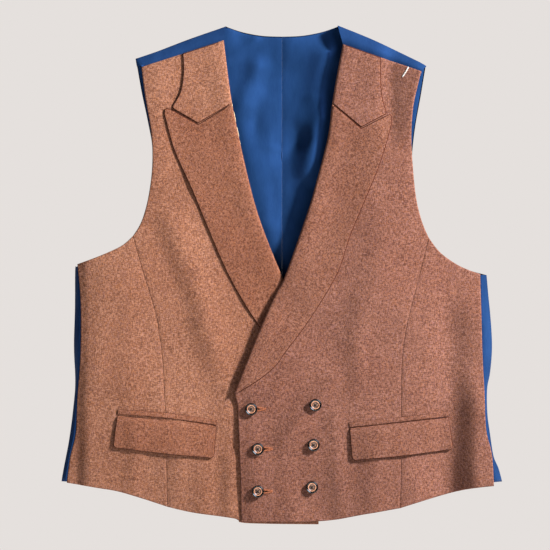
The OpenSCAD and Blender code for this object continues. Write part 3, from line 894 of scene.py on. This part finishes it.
# ---------------------------------------------------------------- the back
def back_lie(x, z):
    """Outward swell of the back: eased at the waist by the strap, with drag lines to it."""
    h = ripple(x, z, 55, 120, 0.7)
    for sx in (-1, 1):
        h = h + fold(x, z, sx * 60, -418, sx * 226, -372, 11, 1.5)
        h = h + fold(x, z, sx * 70, -440, sx * 226, -486, 11, 1.4)
        h = h + fold(x, z, sx * 120, -300, sx * 128, -390, 18, -1.0)
        h = h + fold(x, z, sx * 118, -455, sx * 128, -540, 18, 1.2)
    h = h - 1.2 * np.exp(-((z + 428) / 24.0) ** 2) * (np.abs(x) < 238)
    h = h - 2.5 * step_up((z + 66) / 48) * step_up((75 - np.abs(x)) / 20)
    return h


def inner_lie(x, z):
    """Folds of the back's lining, as seen through the neck."""
    h = ripple(x, z, 77, 70, 0.9)
    for f in ((-30, -52, -44, -92, 14, 7.0), (54, -40, 44, -84, 18, 10.0),
              (46, -110, 30, -176, 11, 5.0), (-20, -92, -19, -236, 14, 2.2),
              (-66, -42, -31, -17, 5, 2.0), (-17, -147, -2, -149, 2.2, 0.9),
              (52, -170, 26, -250, 9, 2.4), (-50, -110, -34, -180, 12, 2.2),
              (8, -250, 8, -310, 10, 1.6), (10, -30, 8, -110, 16, 1.6)):
        h = h + fold(x, z, *f)
    # it comes forward to the fronts beside the V, steeply where it hollows behind that
    steep = np.exp(-((z + 138) / 20.0) ** 2)
    off = roll_x("l", z) - x
    forward = 11.0 * step_up((-76 - z) / 44) * (1 - 0.55 * step_up((-158 - z) / 40))
    h = h + forward * (1 - step_up((off - 15) / (44 - 24 * steep))) * step_up((300 + z) / 60)
    off = x - roll_x("r", z)
    h = h + 3.0 * (1 - step_up((off - 3) / 26)) * step_up((300 + z) / 60)
    h = h + 5.5 * step_up((z + 66) / 48)
    h = h - 0.7 * np.exp(-(x / 2.2) ** 2)
    return h


def seam_point(side, along_side, x, z):
    """Where the back's satin meets a front: across at the side, or up at the shoulder."""
    if along_side:
        line = SIDE_SEAM[side]
        return np.interp(z, line[:, 1], line[:, 0]), z
    line = SHOULDER_SEAM[side]
    a, b = line[0], line[-1]
    outer = BACK_SHOULDER[side]
    t = np.clip((x - outer[0]) / (outer[1] - outer[0]), 0, 1)
    return a[0] + (b[0] - a[0]) * t, a[1] + (b[1] - a[1]) * t


SIDE_SEAM, SHOULDER_SEAM, BACK_SHOULDER = {}, {}, {}
for s, sgn in (("r", -1), ("l", 1)):
    q = SIDE[s]
    edge = q[(q[:, 0] * sgn > 236) & (q[:, 1] < -285)]
    SIDE_SEAM[s] = edge[np.argsort(edge[:, 1])]
    q = CENTRE[s]
    top = q[q[:, 1] > -58]
    outer, inner = top[np.argmax(top[:, 0] * sgn)], top[np.argmax(top[:, 1])]
    SHOULDER_SEAM[s] = np.array([outer, inner])


def back_panel(side):
    sgn = -1 if side == "r" else 1
    raw = cleaned(loops(f"back_outer_{side}", 1)[0])
    loop = smooth(raw, 4.5)
    x, z = loop[:, 0], loop[:, 1]
    on_side = (x * sgn > 244) & (z < -286) & (z > -549)
    line_y = np.interp(np.abs(x), [67, 176], [-1, -44])
    on_top = (np.abs(x) > 66) & (np.abs(x) < 178) & (np.abs(z - line_y) < 8) & (z > -52)
    tops = x[on_top] * sgn
    BACK_SHOULDER[side] = (sgn * float(tops.max()), sgn * float(tops.min()))
    maker = Maker()
    rim = [(5.0, 0), (3.0, 0.25), (1.5, 0.95), (0.5, 2.1), (0.05, 3.4)]
    lofted = on_side | on_top

    def scale(px, pz):
        k = np.where(lofted, 1.0, 0.28)
        return k, np.where(lofted, 1.0, 0.28)

    ply(maker, loop, lambda a, b: BACK + back_lie(a, b), rim, scale, 5.5, (), (), 1)
    # the satin comes round the side and over the shoulder to the seam with the front
    front = FACE[side]
    for mask, sideways in ((on_side, True), (on_top, False)):
        index = np.flatnonzero(mask)
        cut = np.flatnonzero(np.diff(index) > 1)
        if len(cut):
            index = np.concatenate([index[cut[0] + 1:], index[:cut[0] + 1]])
        rows = []
        n = outward(loop)
        for i in index:
            px, pz = loop[i]
            qx, qz = seam_point(side, sideways, px, pz)
            y0 = BACK + float(back_lie(px, pz)) - 3.4
            wob = 0.5 * math.sin(pz / 19.0 + px / 31.0)
            ends = front - float(lie(side, np.array([qx]), np.array([qz]))[0])
            tuck = 4.0
            dx, dz = qx - px, qz - pz
            d = max(math.hypot(dx, dz), 1e-6)
            ux, uz = dx / d, dz / d
            nx, nz = n[i] / np.hypot(*n[i])
            row = [(px - nx * 0.05, y0, pz - nz * 0.05)]
            span = y0 - ends
            wall = 0.80 if not sideways else 0.30 if side == "r" else 0.5
            for t, out in ((0.2, 0.25), (0.47, 0.5 + wob * 0.5), (0.73, 0.4 + wob),
                           (1.0, 0.1 + wob * 0.4)):
                row.append((px + nx * out, y0 - span * wall * t, pz + nz * out))
            for t, rise in ((0.05, 0.12), (0.2, 0.34), (0.5, 0.70), (0.82, 0.93)):
                lift = wall + (1 - wall) * rise
                row.append((px + dx * t, y0 - span * lift, pz + dz * t))
            row.append((qx + ux * 0.6, ends + 1.6, qz + uz * 0.6))
            row.append((qx + ux * tuck, ends + 2.2, qz + uz * tuck))
            rows.append(row)
        maker.grid(rows)
    o = maker.piece(f"back_panel_{side}", [BACK_SATIN], TRUNK, f"back_outer_{side}")


def back_lining(side):
    sgn = -1 if side == "r" else 1
    raw = cleaned(loops(f"back_lining_{side}", -1)[0])
    level = near(f"back_lining_{side}", -1)
    raw[np.abs(raw[:, 0]) < 3, 0] = sgn * 0.02
    loop = smooth(raw, 4.5)
    maker = Maker()

    def top(x, z):
        return level + 0.3 - inner_lie(x, z)

    def scale(x, z):
        middle_seam = np.abs(x) < 1
        return np.where(middle_seam, 0.25, 1.0), np.where(middle_seam, 0.12, 1.0)
    ply(maker, loop, top, THIN, scale, 4.5)
    o = maker.piece(f"back_lining_ply_{side}", [LINING], TRUNK, f"back_lining_{side}")


def strap(name, node, path, width, thick, tip=False):
    """A flat strap of doubled satin along a path in (x, y), its edges rounded."""
    z0 = middle("buckle_frame").z
    p = along(np.array(path, float), 3.0)
    t = np.gradient(p, axis=0)
    t /= np.hypot(*t.T)[:, None]
    n = np.column_stack([-t[:, 1], t[:, 0]])
    if n[0, 1] < 0:
        n = -n
    rows = []
    run = np.concatenate([[0], np.cumsum(np.hypot(*np.diff(p, axis=0).T))])
    for i in range(len(p)):
        w = width / 2
        if tip:
            w *= min(1, 0.55 + (run[-1] - run[i]) / 14)
        w += 0.25 * math.sin(run[i] / 9)
        row = []
        for s_w, s_t in ((-1, 0), (-0.99, 0.42), (-0.93, 0.5), (-0.86, 0.40), (-0.8, 0.5),
                         (-0.3, 0.54), (0.3, 0.54), (0.8, 0.5), (0.86, 0.40), (0.93, 0.5),
                         (0.99, 0.42), (1, 0), (0.97, -0.45), (0.5, -0.5), (-0.5, -0.5),
                         (-0.97, -0.45)):
            c = p[i] + n[i] * thick * s_t
            row.append((c[0], c[1], z0 + w * s_w))
        rows.append(row)
    maker = Maker()
    maker.grid(rows, around=True, ends=True)
    o = maker.piece(name, [BACK_SATIN], TRUNK, node)


# ---------------------------------------------------------------- buttons
DISH_FLOOR = 1.96  # height of the dish's floor over the button's back, mm
THREAD_HOLES = 1.9  # distance of the four holes from the middle, mm


def button(key):
    b = BUTTON[key]
    settled = float(lie("l", np.array([b.x]), np.array([b.z]))[0])
    back = near(f"button_{key}", 1) - settled
    at = (b.x, back, b.z)
    r = (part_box(f"button_{key}")[1].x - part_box(f"button_{key}")[0].x) / MM / 2
    maker = Maker()
    maker.turn(at, [(0.01, 0.02), (r - 2.2, 0), (r - 1.2, 0.15), (r - 0.45, 0.6), (r - 0.08, 1.2),
                    (r, 1.7), (r - 0.10, 2.3), (r - 0.38, 2.85), (r - 0.8, 3.15),
                    (r - 1.15, 3.18), (r - 1.4, 3.07), (r - 1.9, 2.81), (r - 2.4, 2.55),
                    (r - 2.5, 2.42)])
    maker.turn(at, [(r - 2.5, 2.42), (r - 2.6, 2.50), (r - 3.0, 2.52), (r - 3.45, 2.44),
                    (r - 3.55, 2.34)], kind=1)
    # the dish, and the four holes sunk in it
    dish = [(r - 3.55, 2.34), (r - 3.9, 2.1), (r - 4.4, DISH_FLOOR)]
    maker.turn(at, dish)
    ring = np.array([((r - 4.4) * math.cos(a), (r - 4.4) * math.sin(a))
                     for a in np.linspace(0, 2 * math.pi, 49)[:-1]])
    holes = [np.array([(THREAD_HOLES * math.cos(q) + 0.72 * math.cos(a),
                        THREAD_HOLES * math.sin(q) + 0.72 * math.sin(a))
                       for a in np.linspace(0, 2 * math.pi, 17)[:-1]])
             for q in np.radians([45, 135, 225, 315])]
    pts = [ring] + holes
    v, _, f, _, _, _ = delaunay_2d_cdt([Vector(p) for p in np.vstack(pts)], ring_edges(pts),
                                       [], 1, 1e-6)
    v = np.array([tuple(p) for p in v])
    mid = v[np.array(f)].mean(1)
    keep = np.ones(len(f), bool)
    for h in holes:
        keep &= ~inside(h, mid)
    maker.add([(b.x + p[0], back - DISH_FLOOR, b.z + p[1]) for p in v],
              [tuple(t) for t, k in zip(f, keep) if k], 2)
    for h in holes:
        c = h.mean(0)
        maker.grid([[(b.x + c[0] + (p[0] - c[0]) * k, back - d, b.z + c[1] + (p[1] - c[1]) * k)
                     for p in h] for k, d in ((1, DISH_FLOOR), (0.93, 1.8), (0.9, 0.1))],
                   around=True, kind=2)
    maker.piece(f"horn_{key}", [HORN, HORN_BAND, DISH], BODY_OF_BUTTON[key],
                f"button_{key}")

    # waxed thread: two strands each way in the cross, and the wrapped shank
    tie = Maker()
    for q in (45, 135):
        a = math.radians(q)
        c, s_ = math.cos(a), math.sin(a)
        lift = 0.32 if q == 135 else 0.0
        for off in (-0.30, 0.30):
            line = []
            for t in np.linspace(-1, 1, 15):
                d = THREAD_HOLES * t
                bow = 0.42 * (1 - t ** 4) + lift * math.exp(-(t * 2.2) ** 2)
                dive = -1.7 * max(0, abs(t) - 0.93) / 0.07
                line.append((b.x + d * c - off * s_, back - (2.1 + bow + dive),
                             b.z + d * s_ + off * c))
            tie.tube(line, 0.30, 7)
    length = near(f"thread_{key}", 1) - near(f"button_{key}", 1)
    wraps = max(1, int(length / 0.45))
    tie.tube([(b.x, back + 0.02, b.z), (b.x, back + length - 0.05, b.z)], 0.62, 10)
    spiral = []
    for i in range(wraps * 10 + 1):
        a = 2 * math.pi * i / 10
        spiral.append((b.x + 0.62 * math.cos(a), back + 0.25 + (length - 0.5) * i
                       / (wraps * 10), b.z + 0.62 * math.sin(a)))
    tie.tube(spiral, 0.26, 6)
    tie.piece(f"tie_{key}", [BUTTON_THREAD], BODY_OF_BUTTON[key], f"thread_{key}")


def narrowed(hole):
    """A buttonhole's opening as it shows: the stitches stand in over half of the slit."""
    mid = hole.mean(0)
    return np.column_stack([hole[:, 0], mid[1] + (hole[:, 1] - mid[1]) * 0.62])


def buttonhole(place):
    """Silk twist worked round the hole: each stitch runs from its edge outward."""
    b = BUTTON[f"fasten_{place}"]
    hole = min(HOLES["l"], key=lambda h: np.hypot(*(h.mean(0) - (b.x + 6, b.z))))
    ring = smooth(narrowed(hole), 0.62, 0.7)
    n = outward(ring)
    n /= np.hypot(*n.T)[:, None]
    rng = random.Random(place)
    maker = Maker()
    base = FACE["l"] - float(lie("l", np.array([b.x + 9]), np.array([b.z]))[0])
    for (x, z), (nx, nz) in zip(ring, n):
        w = 1.75 + rng.uniform(-0.12, 0.16)
        sl = rng.uniform(-0.16, 0.16)
        line = []
        for t in (-0.06, 0.18, 0.5, 0.82, 1.0):
            up = 0.16 + 0.34 * math.sin(math.pi * min(max(t, 0), 1)) ** 0.7
            line.append((x + nx * w * t - nz * sl * t, base - up + (0.5 if t < 0 else 0),
                         z + nz * w * t + nx * sl * t))
        maker.tube(line, [0.24, 0.31, 0.33, 0.31, 0.20], 6)
    # the purl, a corded ridge along the hole's edge
    purl = [(x + nx * 0.18, base - 0.42 + 0.08 * math.sin(i * 2.1), z + nz * 0.18)
            for i, ((x, z), (nx, nz)) in enumerate(zip(ring, n))]
    maker.tube(purl + purl[:2], 0.26, 6)
    # the bar tack that closes the outer end
    tip = ring[np.argmax(ring[:, 0])]
    for k in range(4):
        x = tip[0] + 0.5 + 0.45 * k
        maker.tube([(x, base - 0.1, tip[1] - 1.6), (x, base - 0.6, tip[1] - 0.7),
                    (x, base - 0.65, tip[1] + 0.7), (x, base - 0.1, tip[1] + 1.6)], 0.27, 6)
    maker.piece(f"worked_hole_{place}", [STITCH], TRUNK, f"buttonhole_{place}")


def tack():
    """A left-in basting stitch of soft white cotton at the left shoulder."""
    lo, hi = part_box("shoulder_tack")
    lo, hi = lo / MM, hi / MM
    maker = Maker()
    for off, bend in ((0.0, 0.5), (0.7, 0.3)):
        line = []
        for t in np.linspace(0, 1, 12):
            x = hi.x - (hi.x - lo.x) * t - off * 0.5 + bend * math.sin(math.pi * t)
            z = hi.z - (hi.z - lo.z) * t + off
            y = FACE["l"] - lie("l", np.array([x]), np.array([z]))[0] - 0.25 - 0.5 * math.sin(
                math.pi * t)
            line.append((x, y, z))
        maker.tube(line, 0.33, 6)
    maker.piece("basting_stitch", [BASTING], TRUNK, "shoulder_tack")


# ---------------------------------------------------------------- put together
for s in ("r", "l"):
    front_shell(s)
    lapels(s)
    inner_plies(s)
    pocket(s)
    flap(s)
    back_panel(s)
    back_lining(s)
for k in BODY_OF_BUTTON:
    button(k)
for p in ("top", "mid", "low"):
    buttonhole(p)
tack()

bar = middle("buckle_frame")
half = (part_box("buckle_frame")[1].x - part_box("buckle_frame")[0].x) / MM / 2 - 1
flat_y = BACK + 0.75
STRAP_W, STRAP_T = 25, 1.0
strap("strap_cloth_r", "strap_r",
      [(-240, flat_y), (-160, flat_y), (-60, flat_y + 0.4), (-half - 8, flat_y + 0.2),
       (-half - 2.4, flat_y + 0.6), (-half + 0.2, bar.y - 1.9), (-half + 1.7, bar.y - 0.7),
       (-half + 1.5, bar.y + 1.0), (-half - 0.6, bar.y + 1.9), (-half - 5, bar.y + 1.2)],
      STRAP_W, STRAP_T)
strap("strap_cloth_l", "strap_l",
      [(240, flat_y), (160, flat_y), (60, flat_y + 0.3), (half + 3, flat_y),
       (half - 3, flat_y + 0.3), (0.5, bar.y + 1.2), (-half + 4, bar.y + 2.5),
       (-half - 3, bar.y + 2.9), (-half - 12, flat_y + 3.1), (-40, flat_y + 2.4),
       (-56, flat_y + 1.9), (-76, flat_y + 2.1)], STRAP_W, STRAP_T, tip=True)

for n in ("buckle_frame", "buckle_tongue"):
    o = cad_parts[n]
    o.data.materials.clear()
    o.data.materials.append(NICKEL)

# ---------------------------------------------------------------- floor, lights and camera
scene = bpy.context.scene
floor_mesh = bpy.data.meshes.new("floor")
FLOOR_Z, FLOOR_R, FLOOR_SIDES = -1.75, 14, 64
ring = [(FLOOR_R * math.cos(a), FLOOR_R * math.sin(a), FLOOR_Z)
        for a in np.linspace(0, 2 * math.pi, FLOOR_SIDES + 1)[:-1]]
floor_mesh.from_pydata([(0, 0, FLOOR_Z)] + ring, [],
                       [(0, 1 + i, 1 + (i + 1) % FLOOR_SIDES) for i in range(FLOOR_SIDES)])
floor = bpy.data.objects.new("floor", floor_mesh)
scene.collection.objects.link(floor)
paper, t = blank("pale_paper")
speck = streaks(t, add(t, "TexCoord").outputs["Object"], 0.0, 400, 400, 1)
close(paper, t, Base_Color=ramp(t, speck, [(0.3, "d9d4d0"), (0.7, "dedad7")]), Roughness=0.95,
      Emission_Color=colour("e5e0dd"), Emission_Strength=0.55)
floor_mesh.materials.append(paper)


def lamp(name, place, aim, size, power, tint, diffuse=True, glossy=True):
    data = bpy.data.lights.new(name, "AREA")
    data.shape = "DISK"
    data.size = size
    data.energy = power
    data.color = colour(tint)[:3]
    o = bpy.data.objects.new(name, data)
    scene.collection.objects.link(o)
    o.location = place
    o.visible_camera = False
    o.visible_diffuse = diffuse
    o.visible_glossy = glossy
    o.rotation_mode = "QUATERNION"
    o.rotation_quaternion = (Vector(aim) - Vector(place)).to_track_quat("-Z", "Y")


lamp("key", (1.84, -1.20, 0.86), (0, 0, -0.3), 0.35, 184, "fffaf4", True, False)
lamp("fill", (-1.7, -2.3, 0.1), (0, 0, -0.3), 1.6, 2, "f4f7ff", True, False)
lamp("window", (1.37, -1.74, 0.87), (0, 0, -0.4), 1.8, 95, "e0ecff", False)
lamp("rim_back", (0.9, 2.2, 0.9), (0, 0, -0.3), 1.2, 60, "fbfbff", True, False)

world = bpy.data.worlds.new("studio")
scene.world = world
world.use_nodes = True
t = world.node_tree
t.nodes.clear()
sight = add(t, "LightPath").outputs["Is Camera Ray"]
soft = add(t, "Background", None, {"Color": colour("dfe2e8"), "Strength": 0.06})
seen = add(t, "Background", None, {"Color": colour("e5e0dd"), "Strength": 1.0})
both = add(t, "MixShader", None, {0: sight, 1: soft.outputs[0], 2: seen.outputs[0]})
add(t, "OutputWorld", None, {"Surface": both.outputs[0]})

scene.view_settings.view_transform = "Standard"
scene.view_settings.look = "None"

LENS, SENSOR = 300.0, 36.0  # mm
WIDE = 0.660  # what the frame takes in at the front's depth, m
cam_data = bpy.data.cameras.new("camera")
cam_data.lens = LENS
cam_data.sensor_width = SENSOR
cam = bpy.data.objects.new("camera", cam_data)
scene.collection.objects.link(cam)
cam.location = (-0.0084, FACE["l"] * MM - WIDE * LENS / SENSOR, -0.300)
cam.rotation_euler = (math.pi / 2, 0, 0)
scene.camera = cam
